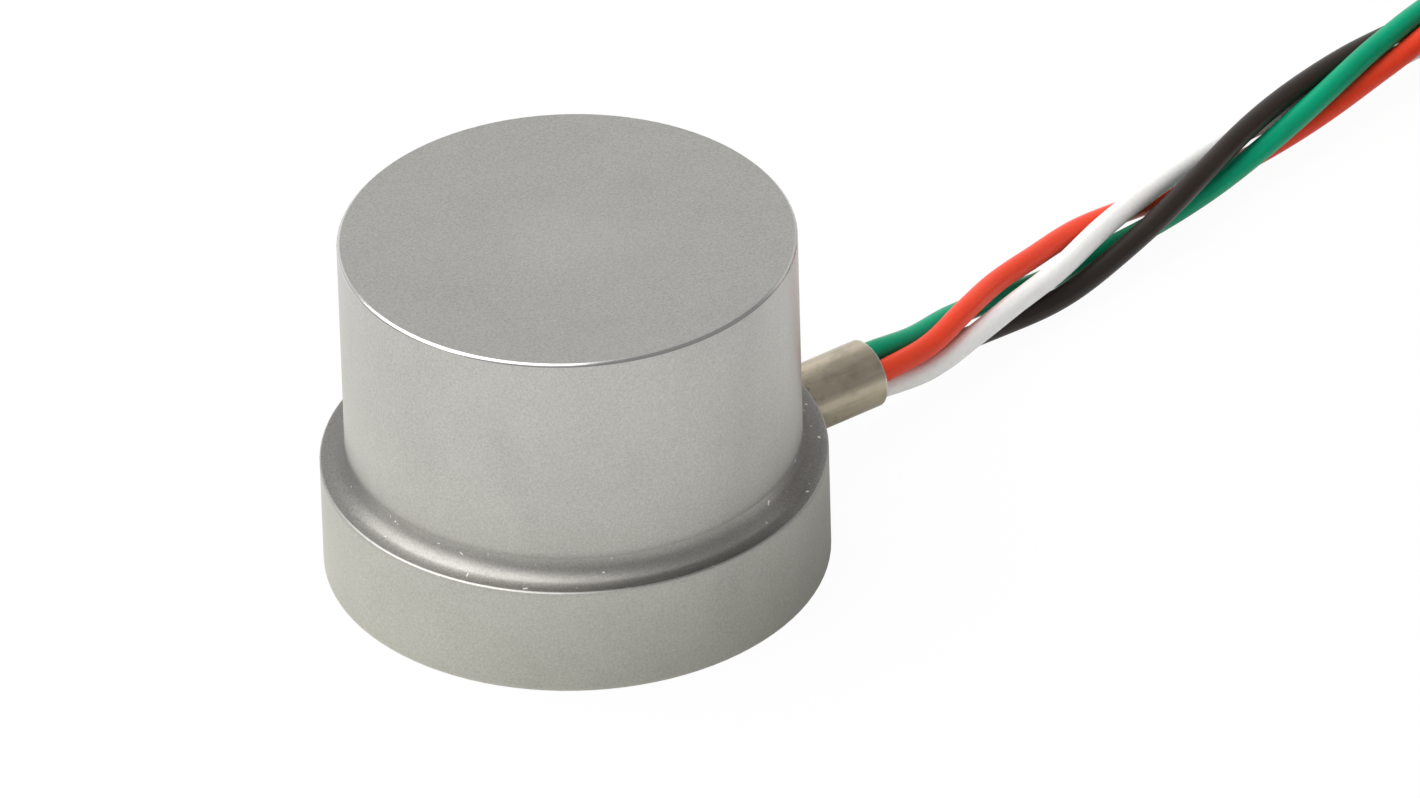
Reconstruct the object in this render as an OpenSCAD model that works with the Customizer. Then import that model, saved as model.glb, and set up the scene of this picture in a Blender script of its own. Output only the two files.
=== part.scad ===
// Button load cell: a one-piece turned cup that is gauged on its inner wall, closed by a base
// cover, with four twisted leads that come out of a short tube in the flange.
// Millimetres. The base face lies on z = 0, the load axis is Z and the lead tube points along +X.

/* [Body] */
// Diameter of the load cylinder
load_d = 18; // [16:0.5:24]
// Height of the load cylinder above the flange
load_h = 9.95; // [9:0.05:16]
// Width of the shoulder that the flange adds all round
shoulder_w = 1; // [0.7:0.1:3]
// Height of the flange
flange_h = 4.65; // [4.3:0.05:6]
// Radius of the fillet between the cylinder and the flange
root_r = 0.9; // [0.1:0.05:1]
// Chamfer on the load face's edge
rim_break = 0.12; // [0.05:0.01:0.4]
// Chamfer on the flange's edges
edge_break = 0.06; // [0.05:0.01:0.25]

/* [Cavity] */
// Wall of the measuring column
column_wall = 2.5; // [1.5:0.1:3.5]
// Fillet between the column's bore and the load plate
bore_r = 0.5; // [0.1:0.05:0.8]
// Width of the ledge that the terminal board seats against
board_ledge = 0.5; // [0.3:0.05:0.8]
// Width of the ledge that the base cover seats against
cover_ledge = 0.5; // [0.3:0.05:0.7]
// Thickness of the base cover
cover_t = 0.6; // [0.4:0.05:0.8]
// Depth of the base cover below the base face
cover_recess = 0.2; // [0.1:0.05:0.4]
// Clearance round a piece that is welded, brazed or bonded in
seat_gap = 0.02; // [0.01:0.005:0.03]

/* [Lead tube] */
// Wall of the lead tube
tube_wall = 0.14; // [0.1:0.01:0.3]
// Length of the lead tube outside the flange
tube_out = 4.3; // [2:0.1:8]
// Depth of the lead tube in the flange
tube_in = 1.9; // [1:0.1:2.4]
// Metal between the cover's ledge and the hole for the lead tube
outlet_floor = 0.18; // [0.1:0.02:0.4]
// Chamfer on the lead tube's outer end
tube_break = 0.06; // [0.02:0.01:0.1]
// Distance from the potting's end to the lead tube's outer end
potting_recess = 0.4; // [0.1:0.1:1.5]
// Potting between the leads and the lead tube
potting_wall = 0.08; // [0.06:0.01:0.2]

/* [Strain gauges] */
// Width of a gauge's carrier, along the wall
carrier_w = 3.4; // [3:0.1:4]
// Height of a gauge's carrier
carrier_h = 4.4; // [4.2:0.1:4.6]
// Thickness of a gauge's carrier
carrier_t = 0.1; // [0.06:0.01:0.15]
// Thickness of a gauge's foil
foil_t = 0.05; // [0.03:0.005:0.08]
// Width of one line of the foil grid
line_w = 0.15; // [0.1:0.01:0.2]
// Pitch of the foil grid's lines
line_pitch = 0.28; // [0.24:0.01:0.32]
// Number of lines in the foil grid
line_count = 8; // [6:2:8]
// Length of the foil grid's lines
grid_l = 2.2; // [1.6:0.1:2.3]
// Side of a gauge's solder tabs
tab_w = 0.8; // [0.6:0.05:0.9]
// Height of a gauge's lower edge above the terminal board
gauge_lift = 0.9; // [0.6:0.05:1.4]
// Bare wall between a gauge's upper edge and the bore's fillet
gauge_clear = 0.7; // [0.2:0.1:1.2]
// Diameter of the jumper wires from the gauges to the terminal board
jumper_d = 0.2; // [0.1:0.02:0.26]

/* [Terminal board] */
// Thickness of the terminal board
board_t = 0.8; // [0.5:0.1:1]
// Gap between the leads' outlet and the terminal board
board_gap = 0.1; // [0.02:0.02:0.2]
// Length of a chip resistor
chip_l = 1.6; // [1:0.1:2]
// Width of a chip resistor
chip_w = 0.8; // [0.5:0.05:1.2]
// Height of a chip resistor
chip_h = 0.45; // [0.3:0.05:0.6]
// Height of a solder joint
solder_h = 0.3; // [0.2:0.05:0.4]

/* [Leads] */
// Diameter of a lead over its insulation
lead_d = 0.92; // [0.7:0.02:1]
// Diameter of a lead's stranded core
core_d = 0.3; // [0.2:0.02:0.36]
// Gap between neighbouring leads in the lead tube
lead_gap = 0.1; // [0.08:0.01:0.2]
// Gap that the red and black leads' lay would leave where the twist is loosest
loose_gap = 0.54; // [0.2:0.02:0.7]
// The same for the green and white leads, which keep closer to the middle
inner_gap = 0.04; // [0.02:0.01:0.2]
// Gap between neighbouring leads in the coil
tight_gap = 0.02; // [0.01:0.01:0.1]
// Length of the leads for one turn of the twist
twist_pitch = 35; // [28:1:60]
// Angle of the red lead at the tube's mouth, from +Y towards +Z
red_angle = 158; // [140:1:165]

/* [Coil] */
// Mean diameter of the coil
coil_d = 23.6; // [22:0.2:28]
// Width of the coil's section
coil_w = 7.2; // [6:0.1:8]
// Height of the coil's section
coil_h = 6.5; // [5:0.1:8]
// Radius of the coil section's corners
coil_corner_r = 1; // [0.5:0.1:1.5]
// Thickness of the tie's strap
tie_t = 0.4; // [0.3:0.05:0.6]
// Width of the tie's strap
tie_w = 2.2; // [1.5:0.1:3]
// Side of the tie's head
tie_head = 3.2; // [2.6:0.1:4]
// Height of the tie's head
tie_head_h = 1.9; // [1.5:0.1:3]

/* [Hidden] */
$fn = 96;

steel = [0.66, 0.66, 0.64];
tube_metal = [0.56, 0.52, 0.45];
polyimide = [0.78, 0.52, 0.2];
constantan = [0.72, 0.58, 0.42];
laminate = [0.12, 0.36, 0.2];
ceramic = [0.15, 0.15, 0.16];
solder = [0.78, 0.78, 0.76];
epoxy = [0.16, 0.14, 0.12];
nylon = [0.9, 0.9, 0.87];

// a cut runs past the surface that it opens by this much
past = 1;
// pieces of one solid run into each other by this much
bite = 0.02;

// body radii and heights
load_rad = load_d / 2;
flange_rad = load_rad + shoulder_w;
total_h = flange_h + load_h;
root_fillet = min(root_r, shoulder_w - edge_break);
column_rad = load_rad - column_wall;
board_seat_rad = column_rad + board_ledge;
cover_seat_rad = board_seat_rad + cover_ledge;
cover_top = cover_recess + cover_t;

// radii at which four touching or spaced leads lie round their common axis
lay_r = (lead_d + lead_gap) / sqrt(2);
loose_r = (lead_d + loose_gap) / sqrt(2);
inner_r = (lead_d + inner_gap) / sqrt(2);
coil_lay_r = (lead_d + tight_gap) / sqrt(2);

// lead tube, along +X
tube_bore_d = 2 * (lay_r + potting_wall) + lead_d;
tube_d = tube_bore_d + 2 * tube_wall;
tube_hole_d = tube_d + 2 * seat_gap;
outlet_z = cover_top + outlet_floor + tube_hole_d / 2;
tube_seat_x = flange_rad - tube_in;
mouth_x = flange_rad + tube_out;
potting_d = tube_bore_d - 2 * seat_gap;

// terminal board, seated upwards against its ledge
board_z = outlet_z + tube_bore_d / 2 + board_gap;
board_top = board_z + board_t;
board_rad = board_seat_rad - seat_gap;
chip_pitch_x = 1.6 * chip_l;
chip_pitch_y = 2.4 * chip_w;
cap_l = 0.2 * chip_l;
cap_t = 0.03;

// strain gauges, a quarter turn apart and clear of the leads
gauge_angles = [45, 135, 225, 315];
deg_per_mm = 180 / PI / column_rad;
carrier_face = column_rad - seat_gap - carrier_t;
foil_face = carrier_face - foil_t;
carrier_z = board_top + gauge_lift;
cavity_top = carrier_z + carrier_h + gauge_clear + bore_r;
hoop_mid_z = carrier_z + carrier_w / 2;
tab_edge = 0.25;
tab_mid = tab_edge + tab_w / 2;
tab_offset = 0.7 * tab_w;
grid_start = tab_w + 2 * tab_edge;
grid_span = (line_count - 1) * line_pitch;
slot_w = line_pitch - line_w;

// jumpers: a quarter loop from each tab down to the board
solder_d = 2.6 * jumper_d;
tab_x = sqrt(pow(foil_face, 2) - pow(solder_d / 2, 2));
// angle round the column and height of each solder tab
tabs = [for (g = [0 : len(gauge_angles) - 1], side = [-1, 1])
    g % 2 == 0
        ? [gauge_angles[g] + side * tab_offset * deg_per_mm, carrier_z + tab_mid]
        : [gauge_angles[g] + (tab_mid - carrier_h / 2) * deg_per_mm, hoop_mid_z + side * tab_offset]];

// leads and their cores
lead_angles = [red_angle, red_angle - 90, red_angle - 180, red_angle - 270];
lead_colors = [[0.85, 0.24, 0.16], [0.02, 0.52, 0.36], [0.1, 0.09, 0.08], [0.9, 0.9, 0.88]];
lead_reach = 1.2;
lead_stagger = 1.4;
upper_end_x = board_seat_rad - lead_reach;
lower_end_x = upper_end_x - lead_stagger;
core_bend_r = 0.45;
core_step = 0.25;
core_hole_d = core_d + 0.1;
core_pad_d = 2.4 * core_d;
lead_sides = 8;

// route of the leads' common axis: distance from the tube's mouth along +X, then y, then height
route_ahead = [
    [2.7, 0.23, 2.06], [5.2, 0.9, 1.93], [7.7, 1.69, 1.61], [10.7, 2.3, 1.41], [13.7, 3.05, 1.42],
    [16.7, 3.7, 1.4], [19.7, 4.37, 1.4], [22.2, 4.94, 1.45], [24.7, 5.5, 1.5], [27.2, 6.05, 1.55],
    [29.7, 6.6, 1.6], [31.7, 7, 1.6], [33.2, 7.3, 1.6]
];
mouth = [mouth_x, 0, outlet_z];
route = concat([mouth], [for (p = route_ahead) [mouth_x + p.x, p.y, p.z]]);
// lengths along the route at which the twist is loosest and at which it is tight again
loosest_at = 14.4;
tight_at = 32;

// coil, on the same surface as the base, its near sides kept where the route ends
coil_near_x = 28.5;
coil_far_y = 10;
coil_in_r = (coil_d - coil_w) / 2;
coil_out_r = (coil_d + coil_w) / 2;
coil_center = [mouth_x + coil_near_x + coil_out_r, coil_far_y - coil_out_r, 0];
tie_slack = 0.1;
coil_z = tie_t + tie_slack;
tie_angle = -50;
tie_tail = 1;

// tails: arcs that leave the innermost turn towards the middle of the coil, side by side, from
// where they are clear of it
tail_bend_r = 6.5;
tail_tangent_angle = 90;
tail_clear = 0.1;
tail_pitch = 1.15 * lead_d;
tail_outer_r = tail_bend_r + 1.5 * tail_pitch;
inner_turn_r = coil_in_r + coil_lay_r + lead_d / 2;
tail_offset = inner_turn_r - tail_bend_r;
tail_room = coil_in_r - lead_d / 2 - tail_clear;
tail_start = acos(
    (pow(tail_room, 2) - pow(tail_offset, 2) - pow(tail_outer_r, 2)) / (2 * tail_offset * tail_outer_r)
);
tail_sweep = 100;
tip_sweep = 36;

function smooth(t) = t <= 0 ? 0 : t >= 1 ? 1 : t * t * (3 - 2 * t);
function unit(v) = v / norm(v);
function run_to(points, i) = i == 0 ? 0 : run_to(points, i - 1) + norm(points[i] - points[i - 1]);
function heading(points, i) =
    unit(points[min(i + 1, len(points) - 1)] - points[max(i - 1, 0)]);

// radius of a lead's twist after a length s of the route, given its widest
function twist_radius(s, widest) =
    s < loosest_at ? lay_r + (widest - lay_r) * smooth(s / loosest_at)
    : widest + (coil_lay_r - widest) * smooth((s - loosest_at) / (tight_at - loosest_at));

// place of a lead at an angle in the plane across the route, as [y, z] in the tube
function lay_offset(angle) = lay_r * [cos(angle), sin(angle)];

// centre line of one lead: straight through the tube, then twisted round the route
function lead_path(angle, end_x, widest) = concat(
    [[end_x, lay_offset(angle)[0], outlet_z + lay_offset(angle)[1]]],
    [for (i = [0 : len(route) - 1])
        let (
            s = run_to(route, i),
            ahead = heading(route, i),
            side = unit(cross([0, 0, 1], ahead)),
            turn = angle - 360 * s / twist_pitch
        )
        i == 0 ? mouth + [0, lay_offset(angle)[0], lay_offset(angle)[1]]
        : route[i] + twist_radius(s, widest) * (cos(turn) * side + sin(turn) * [0, 0, 1])]
);

// inner end of a lead: the two upper leads stop short of the two lower ones
function lead_end_x(angle) = sin(angle) > 0 ? upper_end_x : lower_end_x;

// outline of half a turned rod with a rounded top edge
module rod_profile(r, h, edge_r) {
    square([r - edge_r, h]);
    square([r, h - edge_r]);
    translate([r - edge_r, h - edge_r]) circle(edge_r);
}

// square with rounded corners, centred
module rounded_square(size, corner_r) {
    square([size.x - 2 * corner_r, size.y], center = true);
    square([size.x, size.y - 2 * corner_r], center = true);
    for (sx = [-1, 1], sy = [-1, 1])
        translate([sx * (size.x / 2 - corner_r), sy * (size.y / 2 - corner_r)])
            circle(corner_r);
}

// thin patch on the inside of the column, a width along the wall centred on an arc position
module wall_patch(r_in, r_out, arc, z, w, h) {
    rotate([0, 0, (arc - w / 2) * deg_per_mm])
        rotate_extrude(angle = w * deg_per_mm)
            translate([r_in, z]) square([r_out - r_in, h]);
}

// tube of constant diameter along a list of points
module sweep(points, d) {
    n = len(points);
    rings = [for (i = [0 : n - 1])
        let (
            ahead = heading(points, i),
            side = unit(cross([0, 0, 1], ahead)),
            up = cross(ahead, side)
        )
        for (k = [0 : lead_sides - 1])
            let (a = 360 * k / lead_sides)
            points[i] + d / 2 * (cos(a) * side + sin(a) * up)];
    function at(i, k) = i * lead_sides + k % lead_sides;
    walls = [for (i = [0 : n - 2], k = [0 : lead_sides - 1])
        each [
            [at(i, k), at(i, k + 1), at(i + 1, k)],
            [at(i, k + 1), at(i + 1, k + 1), at(i + 1, k)]
        ]];
    first_end = [for (k = [lead_sides - 1 : -1 : 0]) at(0, k)];
    last_end = [for (k = [0 : lead_sides - 1]) at(n - 1, k)];
    polyhedron(rings, concat([first_end], walls, [last_end]));
}

// body: load cylinder, root fillet and flange, bored from below
module body_profile() {
    difference() {
        union() {
            polygon([
                [0, 0], [flange_rad - edge_break, 0], [flange_rad, edge_break],
                [flange_rad, flange_h - edge_break], [flange_rad - edge_break, flange_h],
                [load_rad, flange_h], [load_rad, total_h - rim_break],
                [load_rad - rim_break, total_h], [0, total_h]
            ]);
            translate([load_rad, flange_h]) difference() {
                square(root_fillet);
                translate([root_fillet, root_fillet]) circle(root_fillet);
            }
        }
        rod_profile(column_rad, cavity_top, bore_r);
        square([board_seat_rad, board_top]);
        square([cover_seat_rad, cover_top]);
    }
}

module sensing_body() {
    color(steel) difference() {
        rotate_extrude() body_profile();
        translate([0, 0, outlet_z]) rotate([0, 90, 0]) {
            cylinder(h = flange_rad + past, d = tube_bore_d);
            translate([0, 0, tube_seat_x]) cylinder(h = tube_in + past, d = tube_hole_d);
        }
    }
}

// base cover: thin disc, welded in its recess
module base_cover() {
    color(steel) translate([0, 0, cover_recess])
        cylinder(h = cover_t, r = cover_seat_rad - seat_gap);
}

// lead tube: seated on the step of its hole, outer end broken all round
module lead_tube() {
    color(tube_metal) translate([tube_seat_x, 0, outlet_z]) rotate([0, 90, 0])
        difference() {
            rotate_extrude() polygon([
                [0, 0], [tube_d / 2, 0], [tube_d / 2, tube_in + tube_out - tube_break],
                [tube_d / 2 - tube_break, tube_in + tube_out], [0, tube_in + tube_out]
            ]);
            translate([0, 0, -past])
                cylinder(h = tube_in + tube_out + 2 * past, d = tube_bore_d);
        }
}

// potting: plug of epoxy in the tube, with a hole for each lead
module tube_potting() {
    potting_l = tube_in + tube_out - potting_recess;
    color(epoxy) difference() {
        translate([tube_seat_x, 0, outlet_z]) rotate([0, 90, 0])
            cylinder(h = potting_l, d = potting_d);
        for (angle = lead_angles)
            translate([tube_seat_x - past, lay_offset(angle)[0], outlet_z + lay_offset(angle)[1]])
                rotate([0, 90, 0])
                    cylinder(h = potting_l + 2 * past, d = lead_d + 2 * seat_gap);
    }
}

// patch of a gauge: u across its lines, v along them from the tab end, lines upright or round
module gauge_patch(r_in, r_out, u, v, w, l, upright) {
    if (upright) wall_patch(r_in, r_out, u, carrier_z + v, w, l);
    else wall_patch(r_in, r_out, v + l / 2 - carrier_h / 2, hoop_mid_z + u - w / 2, l, w);
}

// gauge: carrier film, two solder tabs and one folded foil line from tab to tab
module strain_gauge(upright) {
    foil_root = carrier_face + bite;
    color(polyimide)
        gauge_patch(carrier_face, column_rad - seat_gap, 0, 0, carrier_w, carrier_h, upright);
    color(constantan) difference() {
        gauge_patch(foil_face, foil_root, 0, grid_start, grid_span + line_w, grid_l, upright);
        for (i = [0 : line_count - 2])
            gauge_patch(
                foil_face - past, foil_root + past, (i + 0.5) * line_pitch - grid_span / 2,
                i % 2 == 0 ? grid_start - past : grid_start + line_w,
                slot_w, grid_l - line_w + past, upright
            );
    }
    color(constantan) for (side = [-1, 1]) {
        gauge_patch(foil_face, foil_root, side * tab_offset, tab_edge, tab_w, tab_w, upright);
        gauge_patch(
            foil_face + bite / 2, foil_root, side * grid_span / 2, tab_edge + tab_w - bite,
            line_w - bite, tab_edge + 2 * bite, upright
        );
    }
}

module axial_gauge_a() { rotate([0, 0, gauge_angles[0]]) strain_gauge(true); }
module hoop_gauge_a() { rotate([0, 0, gauge_angles[1]]) strain_gauge(false); }
module axial_gauge_b() { rotate([0, 0, gauge_angles[2]]) strain_gauge(true); }
module hoop_gauge_b() { rotate([0, 0, gauge_angles[3]]) strain_gauge(false); }

// jumper: quarter loop from a tab's face, at a height, down to the board's top face
module jumper(tab_z) {
    translate([tab_x, 0, board_top]) rotate([90, 0, 0]) rotate([0, 0, 90])
        rotate_extrude(angle = 90) translate([tab_z - board_top, 0]) circle(d = jumper_d);
}

module gauge_jumpers() {
    color("gold") for (tab = tabs) rotate([0, 0, tab[0]]) jumper(tab[1]);
}

// solder at both ends of each jumper
module jumper_joints() {
    color(solder) for (tab = tabs) rotate([0, 0, tab[0]]) difference() {
        union() {
            translate([tab_x, 0, tab[1]]) rotate([0, -90, 0])
                cylinder(h = solder_h, d1 = solder_d, d2 = 1.4 * jumper_d);
            translate([tab_x - tab[1] + board_top, 0, board_top])
                cylinder(h = solder_h, d1 = solder_d, d2 = 1.4 * jumper_d);
        }
        jumper(tab[1]);
    }
}

// places its children where each lead's core passes through the board
module at_cores() {
    for (angle = lead_angles)
        translate([lead_end_x(angle) - core_step - core_bend_r, lay_offset(angle)[0], 0]) children();
}

// terminal board: round laminate with a plated hole for each core
module terminal_board() {
    color(laminate) difference() {
        translate([0, 0, board_z]) cylinder(h = board_t, r = board_rad);
        at_cores() translate([0, 0, board_z - past]) cylinder(h = board_t + 2 * past, d = core_hole_d);
    }
}

// chip resistor: ceramic block with a plated cap on each end
module chip_resistor(column, row) {
    translate([column * chip_pitch_x / 2 - chip_pitch_x / 2, row * chip_pitch_y / 2, board_top]) {
        color(ceramic) translate([0, 0, chip_h / 2 + cap_t])
            cube([chip_l - 2 * cap_t, chip_w - 2 * cap_t, chip_h - 2 * cap_t], center = true);
        color(solder) for (side = [-1, 1])
            translate([side * (chip_l - cap_l) / 2, 0, chip_h / 2])
                cube([cap_l, chip_w, chip_h], center = true);
    }
}

module span_resistor_a() { chip_resistor(-1, -1); }
module span_resistor_b() { chip_resistor(-1, 1); }
module balance_resistor() { chip_resistor(1, -1); }
module drift_resistor() { chip_resistor(1, 1); }

// core of one lead: out of the insulation, bent up and through the board
module lead_core(angle) {
    core_z = outlet_z + lay_offset(angle)[1];
    translate([lead_end_x(angle), lay_offset(angle)[0], core_z]) {
        rotate([0, -90, 0]) cylinder(h = core_step, d = core_d);
        translate([-core_step, 0, core_bend_r]) rotate([90, 0, 0]) rotate([0, 0, 180])
            rotate_extrude(angle = 90) translate([core_bend_r, 0]) circle(d = core_d);
        translate([-core_step - core_bend_r, 0, core_bend_r])
            cylinder(h = board_top + solder_h - core_z - core_bend_r, d = core_d);
    }
}

module lead_cores() {
    color("silver") for (angle = lead_angles) lead_core(angle);
}

// solder cone round each core on the board's top face
module lead_joints() {
    color(solder) at_cores() translate([0, 0, board_top]) difference() {
        cylinder(h = 0.8 * solder_h, d1 = core_pad_d, d2 = 1.5 * core_d);
        translate([0, 0, -past]) cylinder(h = solder_h + 2 * past, d = core_d);
    }
}

module lead(index) {
    angle = lead_angles[index];
    widest = index % 2 == 0 ? loose_r : inner_r;
    color(lead_colors[index]) sweep(lead_path(angle, lead_end_x(angle), widest), lead_d);
}

module red_lead() { lead(0); }
module green_lead() { lead(1); }
module black_lead() { lead(2); }
module white_lead() { lead(3); }

// coil: outer shape of the wound leads
module lead_coil() {
    color(lead_colors[3]) translate(coil_center + [0, 0, coil_z])
        rotate_extrude() translate([coil_d / 2, coil_h / 2])
            rounded_square([coil_w, coil_h], coil_corner_r);
}

// outline at a distance round the coil's section
module tie_outline(away) {
    rounded_square([coil_w + 2 * away, coil_h + 2 * away], coil_corner_r + away);
}

// tie: strap round the coil's section, with its head and cut tail on top
module coil_tie() {
    head_y = coil_h / 2 + tie_slack + tie_t + tie_head_h / 2;
    color(nylon) translate(coil_center) rotate([0, 0, tie_angle])
        translate([coil_d / 2, 0, coil_z + coil_h / 2]) rotate([90, 0, 0]) {
            linear_extrude(tie_w, center = true) difference() {
                tie_outline(tie_slack + tie_t);
                tie_outline(tie_slack);
            }
            translate([0, head_y - bite, 0])
                cube([tie_head, tie_head_h, tie_head], center = true);
            translate([(tie_head + tie_tail) / 2 - bite, head_y, 0])
                cube([tie_tail, tie_t, tie_w], center = true);
        }
}

// arc of one tail or tip, from an angle past the point where the tails leave the innermost turn
module tail_arc(index, start, sweep_angle, d) {
    translate(coil_center) rotate([0, 0, tail_tangent_angle]) translate([tail_offset, 0, 0])
        rotate([0, 0, -start - sweep_angle]) rotate_extrude(angle = sweep_angle)
            translate([tail_bend_r + (index - 1.5) * tail_pitch, lead_d / 2]) circle(d = d);
}

module lead_tails() {
    for (i = [0 : 3]) color(lead_colors[i]) tail_arc(i, tail_start, tail_sweep, lead_d);
}

module tinned_ends() {
    color(solder) for (i = [0 : 3]) tail_arc(i, tail_start + tail_sweep, tip_sweep, core_d);
}

sensing_body();
base_cover();
lead_tube();
tube_potting();
axial_gauge_a();
axial_gauge_b();
hoop_gauge_a();
hoop_gauge_b();
gauge_jumpers();
jumper_joints();
terminal_board();
span_resistor_a();
span_resistor_b();
balance_resistor();
drift_resistor();
lead_cores();
lead_joints();
red_lead();
green_lead();
black_lead();
white_lead();
lead_coil();
coil_tie();
lead_tails();
tinned_ends();
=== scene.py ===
import math

import bmesh
import bpy
from mathutils import Matrix, Vector


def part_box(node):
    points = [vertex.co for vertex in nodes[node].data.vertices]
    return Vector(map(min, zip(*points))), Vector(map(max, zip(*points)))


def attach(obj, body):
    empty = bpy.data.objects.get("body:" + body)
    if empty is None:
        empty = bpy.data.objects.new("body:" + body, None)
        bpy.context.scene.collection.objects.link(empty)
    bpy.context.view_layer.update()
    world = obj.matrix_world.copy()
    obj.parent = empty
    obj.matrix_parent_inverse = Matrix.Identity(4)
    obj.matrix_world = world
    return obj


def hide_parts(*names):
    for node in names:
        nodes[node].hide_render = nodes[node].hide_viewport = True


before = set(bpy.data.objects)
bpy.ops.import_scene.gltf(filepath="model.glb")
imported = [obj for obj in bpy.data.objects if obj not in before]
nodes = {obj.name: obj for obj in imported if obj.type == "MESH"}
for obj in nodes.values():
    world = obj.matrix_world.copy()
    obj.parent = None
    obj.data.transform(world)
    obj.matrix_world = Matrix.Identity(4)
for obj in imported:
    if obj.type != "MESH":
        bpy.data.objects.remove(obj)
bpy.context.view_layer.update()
scene = bpy.context.scene
scene.view_settings.view_transform = "Standard"
mm = 0.001
print("frame loaded:", len(nodes), "solids by name")

# camera at the photograph's angle, worked out for its 1420 x 798 frame
cameraView = {
    "azimuth": -35.3,              # degrees round from straight along +Y
    "elevation": 33.64,
    "roll": 1.66,
    "distance": 0.8,
    "pixelsPerMm": 25.4,           # at the middle of the base
    "basePixel": (577.4, 547.9),  # where the middle of the base lands
    "frame": (1420, 798),
    "sensor": 36,
    "clip": (0.01, 20),
}


def cameraAxes(view):
    turn, rise, roll = (math.radians(view[key]) for key in ("azimuth", "elevation", "roll"))
    back = Vector((math.sin(turn) * math.cos(rise), -math.cos(turn) * math.cos(rise), math.sin(rise)))
    level = Vector((math.cos(turn), math.sin(turn), 0))
    upright = back.cross(level)
    right = level * math.cos(roll) - upright * math.sin(roll)
    up = level * math.sin(roll) + upright * math.cos(roll)
    return right, up, back


def makeCamera(view):
    right, up, back = cameraAxes(view)
    width, height = view["frame"]
    column, row = view["basePixel"]
    perMetre = view["pixelsPerMm"] / mm
    target = (right * (width / 2 - column) + up * (row - height / 2)) / perMetre
    data = bpy.data.cameras.new("camera")
    data.sensor_width = view["sensor"]
    data.lens = view["sensor"] * perMetre * view["distance"] / width
    data.clip_start, data.clip_end = view["clip"]
    camera = bpy.data.objects.new("camera", data)
    turned = Matrix((right, up, back)).transposed().to_4x4()
    camera.matrix_world = Matrix.Translation(target + back * view["distance"]) @ turned
    scene.collection.objects.link(camera)
    scene.camera = camera


makeCamera(cameraView)
print("camera placed")


# one socket of a material, so that masks are written as plain sums
class Tap:
    def __init__(self, tree, socket=None):
        self.tree = tree
        self.socket = socket

    def add(self, kind, settings=None, inputs=None, out=0):
        node = self.tree.nodes.new(kind)
        for name, value in (settings or {}).items():
            setattr(node, name, value)
        for name, value in (inputs or {}).items():
            if isinstance(value, Tap):
                self.tree.links.new(value.socket, node.inputs[name])
            else:
                node.inputs[name].default_value = value
        return Tap(self.tree, node.outputs[out])

    def math(self, operation, first, second=0.0):
        return self.add("ShaderNodeMath", {"operation": operation}, {0: first, 1: second})

    def __add__(self, other): return self.math("ADD", self, other)
    def __radd__(self, other): return self.math("ADD", other, self)
    def __sub__(self, other): return self.math("SUBTRACT", self, other)
    def __rsub__(self, other): return self.math("SUBTRACT", other, self)
    def __mul__(self, other): return self.math("MULTIPLY", self, other)
    def __rmul__(self, other): return self.math("MULTIPLY", other, self)
    def __truediv__(self, other): return self.math("DIVIDE", self, other)
    def __rtruediv__(self, other): return self.math("DIVIDE", other, self)
    def __pow__(self, other): return self.math("POWER", self, other)
    def __rpow__(self, other): return self.math("POWER", other, self)
    def __abs__(self): return self.math("ABSOLUTE", self)

    def larger(self, other): return self.math("MAXIMUM", self, other)
    def smaller(self, other): return self.math("MINIMUM", self, other)

    # 0 below low, 1 above high, smooth between; low may be the larger
    def fade(self, low, high):
        return self.add("ShaderNodeMapRange", {"interpolation_type": "SMOOTHSTEP"},
                        {"Value": self, "From Min": low, "From Max": high})

    # this value chooses between two colours
    def choose(self, first, second):
        first, second = ((*c, 1) if isinstance(c, tuple) else c for c in (first, second))
        return self.add("ShaderNodeMix", {"data_type": "RGBA"}, {0: self, 6: first, 7: second}, 2)

    # a colour times a value
    def tint(self, value):
        return self.add("ShaderNodeVectorMath", {"operation": "SCALE"}, {0: self, "Scale": value})


class Finish:
    def __init__(self, name):
        self.material = bpy.data.materials.new(name)
        self.material.use_nodes = True
        self.tree = self.material.node_tree
        self.shader = self.tree.nodes["Principled BSDF"]
        self.tap = Tap(self.tree)
        self.place = self.tap.add("ShaderNodeTexCoord", out="Object")

    # noise of a grain size in metres; stretch lengthens the grain along an axis
    def noise(self, size, detail=2.0, roughness=0.55, stretch=(1, 1, 1), distortion=0.0):
        place = self.place
        if stretch != (1, 1, 1):
            place = self.tap.add("ShaderNodeMapping", {"vector_type": "POINT"},
                                 {"Vector": place, "Scale": tuple(1 / s for s in stretch)})
        return self.tap.add("ShaderNodeTexNoise", {"noise_dimensions": "3D"},
                            {"Vector": place, "Scale": 1 / size, "Detail": detail,
                             "Roughness": roughness, "Distortion": distortion})

    def axis(self, name):
        return self.tap.add("ShaderNodeSeparateXYZ", {}, {0: self.place}, name)

    # distance from the Z axis
    def radius(self):
        x, y = self.axis("X"), self.axis("Y")
        return (x * x + y * y) ** 0.5

    # sockets by name: links for what varies, plain numbers for the rest
    def wire(self, sockets):
        for name, value in sockets.items():
            socket = self.shader.inputs[name]
            if isinstance(value, Tap):
                self.tree.links.new(value.socket, socket)
            else:
                socket.default_value = (*value, 1) if socket.type == "RGBA" else value
        return self.material

    def bump(self, height, depth, strength=1.0, under=None):
        inputs = {"Height": height, "Distance": depth, "Strength": strength}
        if under:
            inputs["Normal"] = under
        return self.tap.add("ShaderNodeBump", {}, inputs)


# a finished bmesh becomes an object
def addMesh(name, shape, material):
    mesh = bpy.data.meshes.new(name)
    shape.to_mesh(mesh)
    shape.free()
    mesh.materials.append(material)
    made = bpy.data.objects.new(name, mesh)
    scene.collection.objects.link(made)
    return made


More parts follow.
